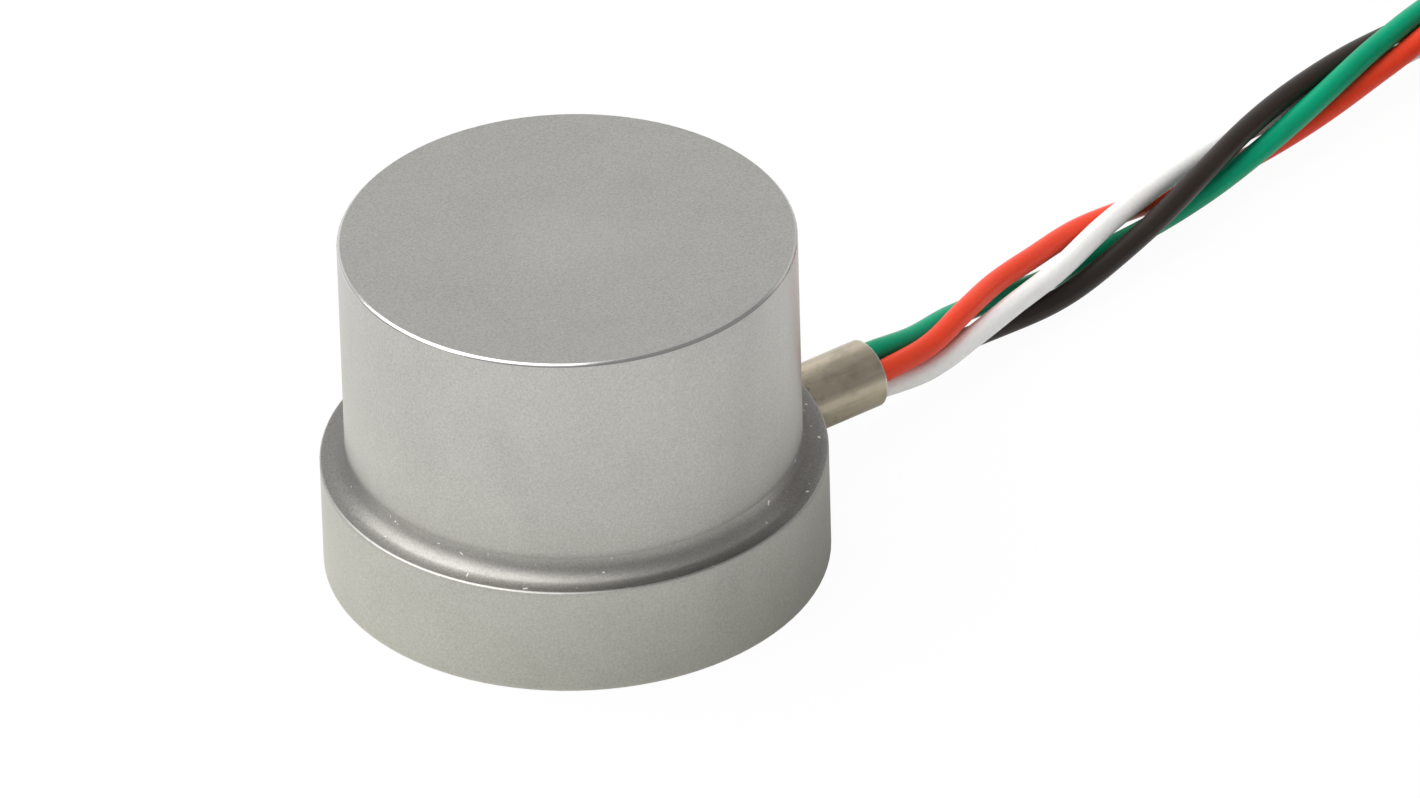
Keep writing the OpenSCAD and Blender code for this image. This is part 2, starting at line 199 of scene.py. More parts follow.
# and rides on the part's one body
def addPiece(name, shape, material):
    piece = addMesh(name, shape, material)
    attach(piece, "root")
    return piece


# leads: four insulated wires twisted together, the unseen length wound for storage
tubeLow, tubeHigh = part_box("lead_tube")
coilLow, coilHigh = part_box("lead_coil")
leads = {
    "length": 0.6,
    "diameter": 0.92 * mm,
    "pitch": 35 * mm,              # length of one full twist
    "tubeRadius": 0.721 * mm,      # radius of the lay in the tube
    "wideRadius": 1.032 * mm,      # of red and black where the twist is loosest
    "innerRadius": 0.679 * mm,     # of green and white there
    "coilRadius": 0.665 * mm,      # of all four in the coil
    "loosestAt": 14.4 * mm,
    "tightAt": 32 * mm,
    "step": 0.25 * mm,
    "leadIn": 2.5 * mm,            # straight run behind the tube's mouth, which sets their direction
    "tubeSteps": 12,
    "exit": (tubeHigh.x, (tubeLow.y + tubeHigh.y) / 2, (tubeLow.z + tubeHigh.z) / 2),
    "route": [
        (0.0170, 0.00023, 0.00206), (0.0195, 0.00090, 0.00193), (0.0220, 0.00169, 0.00161),
        (0.0250, 0.00230, 0.00141), (0.0280, 0.00305, 0.00142), (0.0310, 0.00370, 0.00140),
        (0.0340, 0.00437, 0.00140), (0.0365, 0.00494, 0.00145), (0.0390, 0.00550, 0.00150),
        (0.0415, 0.00605, 0.00155), (0.0440, 0.00660, 0.00160), (0.0460, 0.00700, 0.00160),
        (0.0475, 0.00730, 0.00160), (0.0502, 0.00778, 0.00161), (0.0530, 0.00824, 0.00162),
    ],
    # name, angle round the lay, inner end, widest lay, lane in the flat tail, slot
    "wires": [
        ("redLead", 158, 0.0058, "wideRadius", -1.5, "lead_red"),
        ("greenLead", 68, 0.0058, "innerRadius", -0.5, "lead_green"),
        ("blackLead", -22, 0.0044, "wideRadius", 1.5, "lead_black"),
        ("whiteLead", -112, 0.0044, "innerRadius", 0.5, "lead_white"),
    ],
    # radius and height of each place in the coil, in the order that they are wound
    "coilPlaces": [(0.014275, 0.001625), (0.0130375, 0.00375), (0.014275, 0.005875),
                   (0.0118, 0.005875), (0.009325, 0.005875), (0.0105625, 0.00375),
                   (0.0118, 0.001625), (0.009325, 0.001625)],
    "coilJoin": 100,               # degrees round the coil where the leads come in
    "coilLeave": 90,
    "dwell": 315,                  # degrees wound at each place
    "shift": 45,                   # last degrees of it, used to move to the next
    "coilStep": 3,
    "tailRadius": 6.5 * mm,
    "tailLane": 1.058 * mm,
    "tailFlatAt": 109.18,          # degrees of the tail's bend by which the wires lie side by side
    "tailEnd": 209.18,
    "tailAngle": 202.5,            # angle of the red wire as the tail begins
    # fresh colour and dulled colour
    "colours": {
        "redLead": ((0.86, 0.066, 0.026), (0.76, 0.066, 0.026)),
        "greenLead": ((0.000, 0.350, 0.180), (0.000, 0.250, 0.120)),
        "blackLead": ((0.030, 0.023, 0.019), (0.042, 0.033, 0.027)),
        "whiteLead": ((0.93, 0.93, 0.91), (0.90, 0.88, 0.84)),
    },
    "dulledNear": (18 * mm, 14.2 * mm),  # X between which they dull towards the tube
    "dulledShare": (0.35, 0.45),   # in patches, and near the tube
    "gloss": 0.18,
    "roughness": 0.26,
    "cloud": 2.6 * mm,
    "fine": 0.18 * mm,
    "fineDepth": 0.006 * mm,
    "roundSteps": 4,
}


def ease(t):
    t = min(max(t, 0), 1)
    return t * t * (3 - 2 * t)


# smooth run through points, with about the given step between the points it returns
def smoothRun(points, step):
    run = []
    for i in range(1, len(points) - 2):
        a, b, c, d = points[i - 1:i + 3]
        count = max(1, round((c - b).length / step))
        for k in range(count):
            t = k / count
            run.append(0.5 * (2 * b + (c - a) * t + (2 * a - 5 * b + 4 * c - d) * t * t
                              + (3 * b - a - 3 * c + d) * t * t * t))
    run.append(points[-2])
    return run


def coilPoint(centre, wound):
    places, dwell, shift = leads["coilPlaces"], leads["dwell"], leads["shift"]
    past = wound - (leads["coilJoin"] - leads["coilLeave"])
    index = min(max(int(past // dwell), 0), len(places) - 1)
    following = min(index + 1, len(places) - 1)
    share = ease((past - index * dwell - dwell + shift) / shift)
    radius, height = (a + (b - a) * share for a, b in zip(places[index], places[following]))
    angle = math.radians(leads["coilJoin"] - wound)
    return centre + Vector((radius * math.cos(angle), radius * math.sin(angle), height))


# middle line of the four leads: points, and for each how far it is into the flat tail
def layLine():
    centre = Vector(((coilLow.x + coilHigh.x) / 2, (coilLow.y + coilHigh.y) / 2, 0))
    total = leads["dwell"] * len(leads["coilPlaces"]) + leads["coilJoin"] - leads["coilLeave"]
    coil = [coilPoint(centre, wound) for wound in range(0, total + 1, leads["coilStep"])]
    coil[-1] = coilPoint(centre, total)
    mouth = Vector(leads["exit"])
    before = mouth - Vector((leads["leadIn"], 0, 0))
    ahead = smoothRun([before, mouth] + [Vector(p) for p in leads["route"]] + coil[:2], leads["step"])
    points = ahead + coil[1:]
    flat = [0.0] * len(points)
    lastRadius, lastHeight = leads["coilPlaces"][-1]
    middle = centre + Vector((0, lastRadius - leads["tailRadius"], 0))
    bends = int(leads["tailEnd"] / leads["coilStep"])
    for i in range(1, bends + 1):
        bend = leads["tailEnd"] * i / bends
        angle = math.radians(leads["coilLeave"] - bend)
        share = ease(bend / leads["tailFlatAt"])
        height = lastHeight + (leads["diameter"] / 2 - lastHeight) * share
        points.append(middle + Vector((math.cos(angle), math.sin(angle), 0)) * leads["tailRadius"]
                      + Vector((0, 0, height)))
        flat.append(share)
    return points, flat, len(ahead) - 1, len(ahead) + len(coil) - 2


def leadPoints(points, flat, coilStart, coilEnd, angle, innerEnd, widest, lane):
    along = [0.0]
    for a, b in zip(points, points[1:]):
        along.append(along[-1] + (b - a).length)
    pitch = leads["pitch"]
    # whole turns in the coil, so that the wires fan out flat in order
    wanted = (leads["wires"][0][1] - leads["tailAngle"]) % 360
    twist = wanted + 360 * round((360 * along[coilEnd] / pitch - wanted) / 360)
    atCoil = 360 * along[coilStart] / pitch
    mouth = Vector(leads["exit"])
    atMouth = math.radians(angle)
    inTube = Vector((0, math.cos(atMouth), math.sin(atMouth))) * leads["tubeRadius"]
    run = []
    for i in range(leads["tubeSteps"]):
        share = i / leads["tubeSteps"]
        run.append(Vector((innerEnd + (mouth.x - innerEnd) * share, mouth.y, mouth.z)) + inTube)
    for i, point in enumerate(points):
        ahead = points[min(i + 1, len(points) - 1)] - points[max(i - 1, 0)]
        side = Vector((-ahead.y, ahead.x, 0)).normalized()
        s = along[i]
        if s < leads["loosestAt"]:
            share = ease(s / leads["loosestAt"])
            radius = leads["tubeRadius"] + (widest - leads["tubeRadius"]) * share
        else:
            share = ease((s - leads["loosestAt"]) / (leads["tightAt"] - leads["loosestAt"]))
            radius = widest + (leads["coilRadius"] - widest) * share
        if i <= coilStart:
            turned = 360 * s / pitch
        else:
            share = min((s - along[coilStart]) / (along[coilEnd] - along[coilStart]), 1)
            turned = atCoil + (twist - atCoil) * share
        now = math.radians(angle - turned)
        keep = 1 - flat[i]
        sideways = radius * math.cos(now) * keep + lane * leads["tailLane"] * flat[i]
        run.append(point + side * sideways + Vector((0, 0, radius * math.sin(now) * keep)))
    return run


def leadFinish(name, colour, shade):
    finish = Finish(name)
    cloud = finish.noise(leads["cloud"], 3)
    fine = finish.noise(leads["fine"], 2)
    patchy, nearTube = leads["dulledShare"]
    dullingAndShade = cloud.fade(0.42, 0.72) * patchy + finish.axis("X").fade(*leads["dulledNear"]) * nearTube
    insulation = dullingAndShade.choose(colour, shade).tint(fine * 0.16 + 0.92)
    return finish.wire({"Base Color": insulation, "Roughness": cloud * 0.16 + leads["roughness"],
                        "Specular IOR Level": leads["gloss"],
                        "Normal": finish.bump(fine + cloud * 2, leads["fineDepth"], 0.5)})


def makeLeads():
    points, flat, coilStart, coilEnd = layLine()
    made = []
    for name, angle, innerEnd, widest, lane, slot in leads["wires"]:
        run = leadPoints(points, flat, coilStart, coilEnd, angle, innerEnd, leads[widest], lane)
        curve = bpy.data.curves.new(name, "CURVE")
        curve.dimensions = "3D"
        curve.bevel_depth = leads["diameter"] / 2
        curve.bevel_resolution = leads["roundSteps"]
        curve.use_fill_caps = True
        spline = curve.splines.new("POLY")
        spline.points.add(len(run) - 1)
        for spot, place in zip(spline.points, run):
            spot.co = (*place, 1)
        curve.materials.append(leadFinish(name, *leads["colours"][name]))
        piece = bpy.data.objects.new(name, curve)
        scene.collection.objects.link(piece)
        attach(piece, "root")
        made.append(piece)
    return made


redLead, greenLead, blackLead, whiteLead = makeLeads()
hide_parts("red_lead", "lead_coil", "lead_tails")
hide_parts("green_lead")
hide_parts("black_lead")
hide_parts("white_lead")


# coil tie: moulded strap round the coil, its head and its cut, toothed end
tie = {
    "angle": -50,                  # degrees round the coil
    "coilWidth": 7.2 * mm,
    "coilCorner": 1.0 * mm,
    "cornerSteps": 8,
    "slack": 0.1 * mm,
    "thickness": 0.4 * mm,
    "width": 2.2 * mm,
    "edge": 0.09 * mm,
    "sharp": 1.0,                  # radians
    "head": (3.2 * mm, 1.9 * mm, 3.2 * mm),  # along the strap, up, across
    "headSink": 0.05 * mm,
    "headEdge": 0.32 * mm,
    "pocketWall": 0.55 * mm,       # round the pawl's pocket in the head's top
    "pocketDepth": 0.45 * mm,
    "mouthWall": 0.30 * mm,        # round the slot that the end comes out of
    "mouthDepth": 0.25 * mm,
    "tail": 1.0 * mm,
    "teeth": 5,
    "toothHeight": 0.11 * mm,
    "nylon": (0.82, 0.81, 0.76),
    "aged": (0.72, 0.70, 0.62),
    "cloud": 0.9 * mm,
    "fine": 0.12 * mm,
    "fineDepth": 0.006 * mm,
    "roughness": 0.30,
}


def tieFinish():
    finish = Finish("tieNylon")
    cloud = finish.noise(tie["cloud"], 3, 0.6)
    fine = finish.noise(tie["fine"], 2)
    return finish.wire({"Base Color": cloud.fade(0.40, 0.75).choose(tie["nylon"], tie["aged"]),
                        "Roughness": cloud * 0.18 + fine * 0.08 + tie["roughness"],
                        "Normal": finish.bump(fine + cloud, tie["fineDepth"], 0.5)})


def strapBand(shape, wide, tall, corner):
    verts = bmesh.ops.create_grid(shape, x_segments=1, y_segments=1, size=0.5)["verts"]
    bmesh.ops.scale(shape, vec=(wide, tall, 1), verts=verts)
    bmesh.ops.bevel(shape, geom=verts, offset=corner, segments=tie["cornerSteps"], profile=0.5,
                    affect="VERTICES", material=-1)
    bmesh.ops.delete(shape, geom=shape.faces[:], context="FACES_ONLY")
    grown = bmesh.ops.extrude_edge_only(shape, edges=shape.edges[:])["geom"]
    far = [item for item in grown if isinstance(item, bmesh.types.BMVert)]
    bmesh.ops.translate(shape, vec=(0, 0, tie["width"]), verts=far)
    bmesh.ops.translate(shape, vec=(0, 0, -tie["width"] / 2), verts=shape.verts)
    bmesh.ops.recalc_face_normals(shape, faces=shape.faces[:])
    bmesh.ops.solidify(shape, geom=shape.faces[:], thickness=tie["thickness"])
    # the four long edges of its section are the only sharp ones
    corners = [edge for edge in shape.edges if edge.calc_face_angle(0) > tie["sharp"]]
    bmesh.ops.bevel(shape, geom=corners, offset=tie["edge"], segments=2, profile=0.5,
                    affect="EDGES", material=-1)


# a shallow pocket with an even wall round it, in the block's face that looks along an axis
def pocket(shape, block, axis, wall, depth):
    faces = {face for vert in block for face in vert.link_faces}
    face = max(faces, key=lambda one: one.normal.dot(axis) * one.calc_area())
    bmesh.ops.inset_region(shape, faces=[face], thickness=wall, use_even_offset=True)
    sunk = bmesh.ops.extrude_discrete_faces(shape, faces=[face])["faces"][0]
    bmesh.ops.translate(shape, vec=axis * -depth, verts=sunk.verts)


def tieHead(shape, middle):
    block = bmesh.ops.create_cube(shape, size=1)["verts"]
    bmesh.ops.scale(shape, vec=tie["head"], verts=block)
    bmesh.ops.translate(shape, vec=middle, verts=block)
    edges = list({edge for vert in block for edge in vert.link_edges})
    rounded = bmesh.ops.bevel(shape, geom=edges, offset=tie["headEdge"], segments=3, profile=0.5,
                              affect="EDGES", material=-1)
    block = list({vert for face in rounded["faces"] for vert in face.verts})
    bmesh.ops.recalc_face_normals(shape, faces=shape.faces[:])
    pocket(shape, block, Vector((0, 1, 0)), tie["pocketWall"], tie["pocketDepth"])
    pocket(shape, block, Vector((1, 0, 0)), tie["mouthWall"], tie["mouthDepth"])


# the cut end: one strip, with teeth underneath that lean as the pawl needs
def tieTail(shape, start):
    pitch = (tie["tail"] + tie["mouthDepth"]) / tie["teeth"]
    top, under = start.y + tie["thickness"] / 2, start.y - tie["thickness"] / 2
    outline = [(start.x + pitch * tie["teeth"], top), (start.x, top)]
    for i in range(tie["teeth"]):
        outline.append((start.x + pitch * i, under + tie["toothHeight"]))
        outline.append((start.x + pitch * (i + 1), under))
    verts = [shape.verts.new((x, y, -tie["width"] / 2)) for x, y in outline]
    side = bmesh.ops.contextual_create(shape, geom=verts)["faces"]
    grown = bmesh.ops.extrude_face_region(shape, geom=side)["geom"]
    far = [item for item in grown if isinstance(item, bmesh.types.BMVert)]
    bmesh.ops.translate(shape, vec=(0, 0, tie["width"]), verts=far)


def makeTie():
    around = tie["slack"] + tie["thickness"]
    coilHeight = coilHigh.z - coilLow.z
    shape = bmesh.new()
    strapBand(shape, tie["coilWidth"] + 2 * around, coilHeight + 2 * around, tie["coilCorner"] + around)
    headUp = coilHeight / 2 + around + tie["head"][1] / 2
    tieHead(shape, Vector((0, headUp - tie["headSink"], 0)))
    tieTail(shape, Vector((tie["head"][0] / 2 - tie["mouthDepth"], headUp, 0)))
    bmesh.ops.recalc_face_normals(shape, faces=shape.faces[:])
    centre = (coilLow + coilHigh) / 2
    ringRadius = (coilHigh.x - coilLow.x) / 2 - tie["coilWidth"] / 2
    turned = Matrix.Rotation(math.radians(tie["angle"]), 4, "Z")
    upright = Matrix.Rotation(math.radians(90), 4, "X")
    place = Matrix.Translation(centre) @ turned @ Matrix.Translation((ringRadius, 0, 0)) @ upright
    bmesh.ops.transform(shape, matrix=place, verts=shape.verts)
    return addPiece("coilTie", shape, tieFinish())


coilTie = makeTie()
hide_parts("coil_tie")
print("leads laid, coiled and tied")

# body: turned steel, bead-blasted all over, edges burnished, dust specks in the groove, and painted
# shade in the groove, on its ledge and on the load face
bodyLow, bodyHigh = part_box("sensing_body")
body = {
    "loadRadius": 9 * mm,
    "flangeRadius": bodyHigh.x,
    "flangeHeight": 4.65 * mm,
    "top": bodyHigh.z,
    "rimChamfer": 0.12 * mm,
    "rimCrown": 0.52,              # slope that it rounds to at its edges
    "steel": (0.545, 0.538, 0.511),
    "shade": (0.474, 0.468, 0.448),
    "burnished": (0.64, 0.63, 0.61),
    # colour of the painted shade in the groove
    "grooveShade": (0.31, 0.297, 0.270),
    "dust": (0.80, 0.79, 0.74),
    # distances from each edge between which its wear fades out
    "rimReach": (0.06 * mm, 0.10 * mm),
    "edgeReach": (0.03 * mm, 0.07 * mm),
    "footReach": (0.06 * mm, 0.20 * mm),
    "grooveMiddle": 0.35 * mm,     # out from the load cylinder, and up from the flange
    "grooveReach": (0.45 * mm, 0.95 * mm),
    "ledgeRise": (0.15 * mm, 0.05 * mm),
    "ledgeStart": (9.3 * mm, 9.5 * mm),
    "ledgeEnd": (9.97 * mm, 9.93 * mm),
    # direction along which the two sides with painted shade on the groove lie
    "sideShadeAxis": (0.816, -0.578),  # across the part, in X and Y
    "sideShadeReach": (7.2 * mm, 9.0 * mm),
    "faceDepth": (0.020 * mm, 0.005 * mm),
    "middleReach": (4.5 * mm, 0.3 * mm),
    # share of its brightness that each place loses to painted shade, and how worn the flange's edges
    # are
    "ledgeShade": 0.36,
    "sideShadeLoss": 0.42,
    "faceShade": 0.165,
    "middleGain": 0.05,            # what the middle of the load face wins back
    "edgeWear": 0.36,
    "footWear": 0.4,
    "roughness": 0.30,
    "polish": 0.21,                # roughness that a worn edge loses
    "speck": 0.34 * mm,
    "speckLevel": (0.735, 0.765),  # only the noise's peaks
    "grain": 0.085 * mm,
    "grainDepth": 0.010 * mm,
    "cloud": 2.4 * mm,
    "smear": 6 * mm,
}


def bodyFinish():
    finish = Finish("blastedSteel")
    r, z = finish.radius(), finish.axis("Z")

    # 1 at a circle round the axis, 0 well away from it
    def near(circleRadius, circleHeight, inner, outer):
        across, up = r - circleRadius, z - circleHeight
        return ((across * across + up * up) ** 0.5).fade(outer, inner)

    grain = finish.noise(body["grain"], 2, 0.6)
    cloud = finish.noise(body["cloud"], 3, 0.6)
    smear = finish.noise(body["smear"], 2, 0.5, stretch=(1, 1, 1.8), distortion=0.4)
    top, loadRadius, flangeHeight = body["top"], body["loadRadius"], body["flangeHeight"]
    half, inGroove = body["rimChamfer"] / 2, body["grooveMiddle"]
    rim = near(loadRadius - half, top - half, *body["rimReach"])
    edge = near(body["flangeRadius"], flangeHeight, *body["edgeReach"])
    foot = near(body["flangeRadius"], bodyLow.z, *body["footReach"])
    groove = near(loadRadius + inGroove, flangeHeight + inGroove, *body["grooveReach"])
    # the groove's flat outer part, short of its bright edge, darkened there as painted shade
    ledge = (z - flangeHeight).fade(*body["ledgeRise"])
    ledge = ledge * r.fade(*body["ledgeStart"]) * r.fade(*body["ledgeEnd"])
    # painted shade: the groove and its ledge darker on two opposite sides of the part
    along, across = body["sideShadeAxis"]
    side = abs(finish.axis("X") * along + finish.axis("Y") * across)
    sideShade = groove.larger(ledge) * side.fade(*body["sideShadeReach"])
    face = (top - z).fade(*body["faceDepth"])
    middle = face * r.fade(*body["middleReach"])
    worn = rim.larger(edge * body["edgeWear"]).larger(foot * body["footWear"])
    speck = finish.noise(body["speck"], 1, 0.5).fade(*body["speckLevel"]) * groove
    colour = (smear.fade(0.46, 0.78) * (0.55 - face * 0.3)).choose(body["steel"], body["shade"])
    # painted shade in the groove, mottled by the cloud noise
    colour = (groove * (cloud * 0.5 + 0.36)).choose(colour, body["grooveShade"])
    # painted shade on the ledge and on two opposite sides of the groove
    dullingAndShade = (ledge * body["ledgeShade"]).larger(sideShade * body["sideShadeLoss"])
    # the load face darkened all over as painted shade, less so in its middle
    dullingAndShade = dullingAndShade + face * body["faceShade"] - middle * body["middleGain"]
    colour = colour.tint(cloud * (0.16 - face * 0.09) + grain * 0.56 + 0.61 - dullingAndShade)
    colour = worn.choose(colour, body["burnished"])
    colour = speck.choose(colour, body["dust"])
    roughness = cloud * 0.10 + smear * 0.06 + groove * 0.10 + face * 0.10 + body["roughness"]
    roughness = roughness - worn * body["polish"] + speck * 0.2
    bump = finish.bump(grain - worn * grain, body["grainDepth"], 0.55)
    # a low crown across the rim's chamfer, which catches the light as a rounded edge does
    climbed = (z - r + (loadRadius - top + body["rimChamfer"])) * 0.5
    offMiddle = climbed.larger(0).smaller(body["rimChamfer"]) - half
    crown = offMiddle * offMiddle * (-math.sqrt(2) * body["rimCrown"] / body["rimChamfer"])
    bump = finish.bump(crown, 1.0, 1.0, under=bump)
    return finish.wire({"Base Color": colour, "Metallic": 1 - speck * 0.8, "Roughness": roughness,
                        "Normal": bump})


# lead tube: drawn along its length, tarnished, its mouth bright
tube = {
    "metal": (0.58, 0.510, 0.395),
    "tarnish": (0.25, 0.215, 0.155),
    "bright": (0.74, 0.72, 0.66),
    "mouthWidth": 0.12 * mm,
    "rootReach": (1.6 * mm, 0.4 * mm),  # out from the flange
    "streak": 0.16 * mm,
    "patch": 1.1 * mm,
    "spot": 0.5 * mm,
    "markDepth": 0.012 * mm,
    "roughness": 0.26,
}


def tubeFinish():
    finish = Finish("drawnTube")
    x = finish.axis("X")
    streak = finish.noise(tube["streak"], 3, 0.6, stretch=(16, 1, 1))
    patch = finish.noise(tube["patch"], 3, 0.6, distortion=0.5)
    spot = finish.noise(tube["spot"], 2).fade(0.62, 0.7)
    mouth = x.fade(tubeHigh.x - tube["mouthWidth"], tubeHigh.x - tube["mouthWidth"] * 0.6)
    root = (x - body["flangeRadius"]).fade(*tube["rootReach"])
    # darker spots close to the flange, in the same colour as the patches
    dull = (patch.fade(0.40, 0.75) * 0.45 + spot * root * 0.8).smaller(1)
    colour = dull.choose(tube["metal"], tube["tarnish"]).tint(streak * 0.5 + 0.75)
    colour = mouth.choose(colour, tube["bright"])
    return finish.wire({"Base Color": colour, "Metallic": 1.0,
                        "Roughness": patch * 0.14 + dull * 0.10 + tube["roughness"] - mouth * 0.08,
                        "Normal": finish.bump(streak + patch, tube["markDepth"], 0.4)})


# base cover: lathe-turned disc with the weld's heat tint round its rim
cover = {
    "steel": (0.56, 0.555, 0.54),
    "straw": (0.50, 0.40, 0.22),
    "blue": (0.22, 0.25, 0.36),
    "radius": 7.48 * mm,
    "strawReach": (-1.0 * mm, -0.1 * mm),  # from that radius
    "blueReach": (-0.3 * mm, 0.25 * mm),
    "wander": 0.6 * mm,            # how far the tint strays from a true ring
    "cloud": 1.8 * mm,
    "latheMark": 0.06 * mm,
    "latheDepth": 0.006 * mm,
    "roughness": 0.24,
}


def coverFinish():
    finish = Finish("turnedCover")
    r = finish.radius()
    lathe = finish.tap.add("ShaderNodeTexNoise", {"noise_dimensions": "1D"},
                           {"W": r, "Scale": 1 / cover["latheMark"], "Detail": 2.0})
    cloud = finish.noise(cover["cloud"], 3)
    wander = r + cloud * cover["wander"] - cover["radius"]
    straw, blue = wander.fade(*cover["strawReach"]), wander.fade(*cover["blueReach"])
    colour = blue.choose(straw.choose(cover["steel"], cover["straw"]), cover["blue"])
    return finish.wire({"Base Color": colour.tint(lathe * 0.2 + cloud * 0.1 + 0.85), "Metallic": 1.0,
                        "Roughness": cloud * 0.14 + cover["roughness"],
                        "Normal": finish.bump(lathe, cover["latheDepth"], 0.6)})


# weld bead in the corner between the cover and its recess, rippled as the weld goes round
bead = {
    "radius": 7.5 * mm,
    "face": 0.2 * mm,              # height of the cover's face over the base
    "leg": 0.13 * mm,
    "sink": 0.01 * mm,
    "joinWithin": 0.001 * mm,      # closes the ends of the spin
    # shares of the leg, in and down, that its hollow face passes through
    "hollow": [(0.62, 0.55), (0.25, 0.88)],
    "steps": 288,
    "ripples": 72,
    "rippleHeight": 0.012 * mm,
    "steel": (0.50, 0.49, 0.47),
    "heat": (0.30, 0.27, 0.30),
    "cloud": 0.7 * mm,
    "fine": 0.05 * mm,
    "fineDepth": 0.004 * mm,
    "roughness": 0.25,
}


def beadFinish():
    finish = Finish("weldBead")
    cloud = finish.noise(bead["cloud"], 3)
    fine = finish.noise(bead["fine"], 2)
    return finish.wire({"Base Color": cloud.fade(0.35, 0.7).choose(bead["steel"], bead["heat"]),
                        "Metallic": 1.0, "Roughness": cloud * 0.2 + fine * 0.1 + bead["roughness"],
                        "Normal": finish.bump(fine, bead["fineDepth"], 0.5)})


def makeBead():
    outer, top, leg, sink = bead["radius"], bead["face"], bead["leg"], bead["sink"]
    shape = bmesh.new()
    profile = [(outer + sink, top + sink), (outer - leg, top + sink), (outer - leg, top)]
    profile += [(outer - leg * inward, top - leg * down) for inward, down in bead["hollow"]]
    profile += [(outer, top - leg), (outer + sink, top - leg)]
    verts = [shape.verts.new((r, 0, z)) for r, z in profile]
    edges = [shape.edges.new((a, b)) for a, b in zip(verts, verts[1:] + verts[:1])]
    bmesh.ops.spin(shape, geom=verts + edges, axis=(0, 0, 1), cent=(0, 0, 0), angle=2 * math.pi,
                   steps=bead["steps"], use_merge=True)
    bmesh.ops.remove_doubles(shape, verts=shape.verts, dist=bead["joinWithin"])
    bmesh.ops.recalc_face_normals(shape, faces=shape.faces)
    for vert in shape.verts:
        if vert.co.z < top:
            turn = math.atan2(vert.co.y, vert.co.x)
            vert.co.z += bead["rippleHeight"] * math.cos(bead["ripples"] * turn)
    return addPiece("weldBead", shape, beadFinish())


makeBead()

# gauge film: amber carrier, with the etched foil told from it by its distance from the axis
gauges = {
    "foilRadius": 6.355 * mm,
    "film": (0.62, 0.30, 0.06),
    "foil": (0.66, 0.47, 0.33),
    "border": 0.01 * mm,
    "cloud": 0.5 * mm,
    "cloudDepth": 0.004 * mm,
    "roughness": 0.22,
}


def gaugeFinish():
    finish = Finish("gaugeFilm")
    cloud = finish.noise(gauges["cloud"], 3)
    foil = finish.radius().fade(gauges["foilRadius"], gauges["foilRadius"] - gauges["border"])
    colour = foil.choose(gauges["film"], gauges["foil"]).tint(cloud * 0.3 + 0.85)
    return finish.wire({"Base Color": colour, "Metallic": foil,
                        "Roughness": cloud * 0.2 + gauges["roughness"],
                        "Normal": finish.bump(cloud, gauges["cloudDepth"], 0.3)})


# chip resistor: dark glass over ceramic, tinned ends found from the solid's own box
resistor = {
    "glass": (0.035, 0.035, 0.04),
    "tin": (0.70, 0.69, 0.66),
    "capShare": 0.2,
    "border": 0.02 * mm,
    "cloud": 0.25 * mm,
    "cloudDepth": 0.006 * mm,
    "roughness": 0.2,
}


def resistorFinish(name):
    finish = Finish(name)
    low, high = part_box(name)
    centre, length = (low.x + high.x) / 2, high.x - low.x
    cloud = finish.noise(resistor["cloud"], 3)
    out = abs(finish.axis("X") - centre)
    inner = length * (0.5 - resistor["capShare"])
    cap = out.fade(inner - resistor["border"], inner)
    colour = cap.choose(resistor["glass"], resistor["tin"]).tint(cloud * 0.3 + 0.85)
    return finish.wire({"Base Color": colour, "Metallic": cap,
                        "Roughness": cloud * 0.2 + resistor["roughness"],
                        "Normal": finish.bump(cloud, resistor["cloudDepth"], 0.4)})


# plain finishes of the small pieces: colour, second colour, grain, roughness, metal, bump
smallFinishes = {
    "tube_potting": ((0.085, 0.07, 0.055), (0.16, 0.13, 0.10), 0.4 * mm, 0.22, 0.0, 0.012 * mm),
    "gauge_jumpers": ((0.66, 0.36, 0.18), (0.48, 0.22, 0.10), 0.3 * mm, 0.30, 1.0, 0.003 * mm),
    "jumper_joints": ((0.70, 0.70, 0.68), (0.50, 0.50, 0.50), 0.15 * mm, 0.24, 1.0, 0.006 * mm),
    "terminal_board": ((0.045, 0.19, 0.09), (0.025, 0.12, 0.055), 0.3 * mm, 0.34, 0.0, 0.005 * mm),
    "lead_cores": ((0.72, 0.71, 0.69), (0.56, 0.53, 0.48), 0.12 * mm, 0.30, 1.0, 0.012 * mm),
    "lead_joints": ((0.70, 0.70, 0.68), (0.50, 0.50, 0.50), 0.15 * mm, 0.24, 1.0, 0.006 * mm),
    "tinned_ends": ((0.72, 0.71, 0.69), (0.54, 0.52, 0.48), 0.12 * mm, 0.28, 1.0, 0.02 * mm),
}


def smallFinish(name, colour, second, grain, roughness, metal, depth):
    finish = Finish(name)
    cloud = finish.noise(grain, 3, 0.6)
    return finish.wire({"Base Color": cloud.fade(0.35, 0.7).choose(colour, second),
                        "Roughness": cloud * 0.2 + roughness, "Metallic": metal,
                        "Normal": finish.bump(cloud, depth, 0.5)})


def dress(name, material):
    nodes[name].data.materials.clear()
    nodes[name].data.materials.append(material)


dress("sensing_body", bodyFinish())
dress("lead_tube", tubeFinish())
dress("base_cover", coverFinish())
gaugeFilm = gaugeFinish()
for name in ("axial_gauge_a", "axial_gauge_b", "hoop_gauge_a", "hoop_gauge_b"):
    dress(name, gaugeFilm)
for name in ("span_resistor_a", "span_resistor_b", "balance_resistor", "drift_resistor"):
    dress(name, resistorFinish(name))
for name, values in smallFinishes.items():
    dress(name, smallFinish(name, *values))
print("solids dressed")

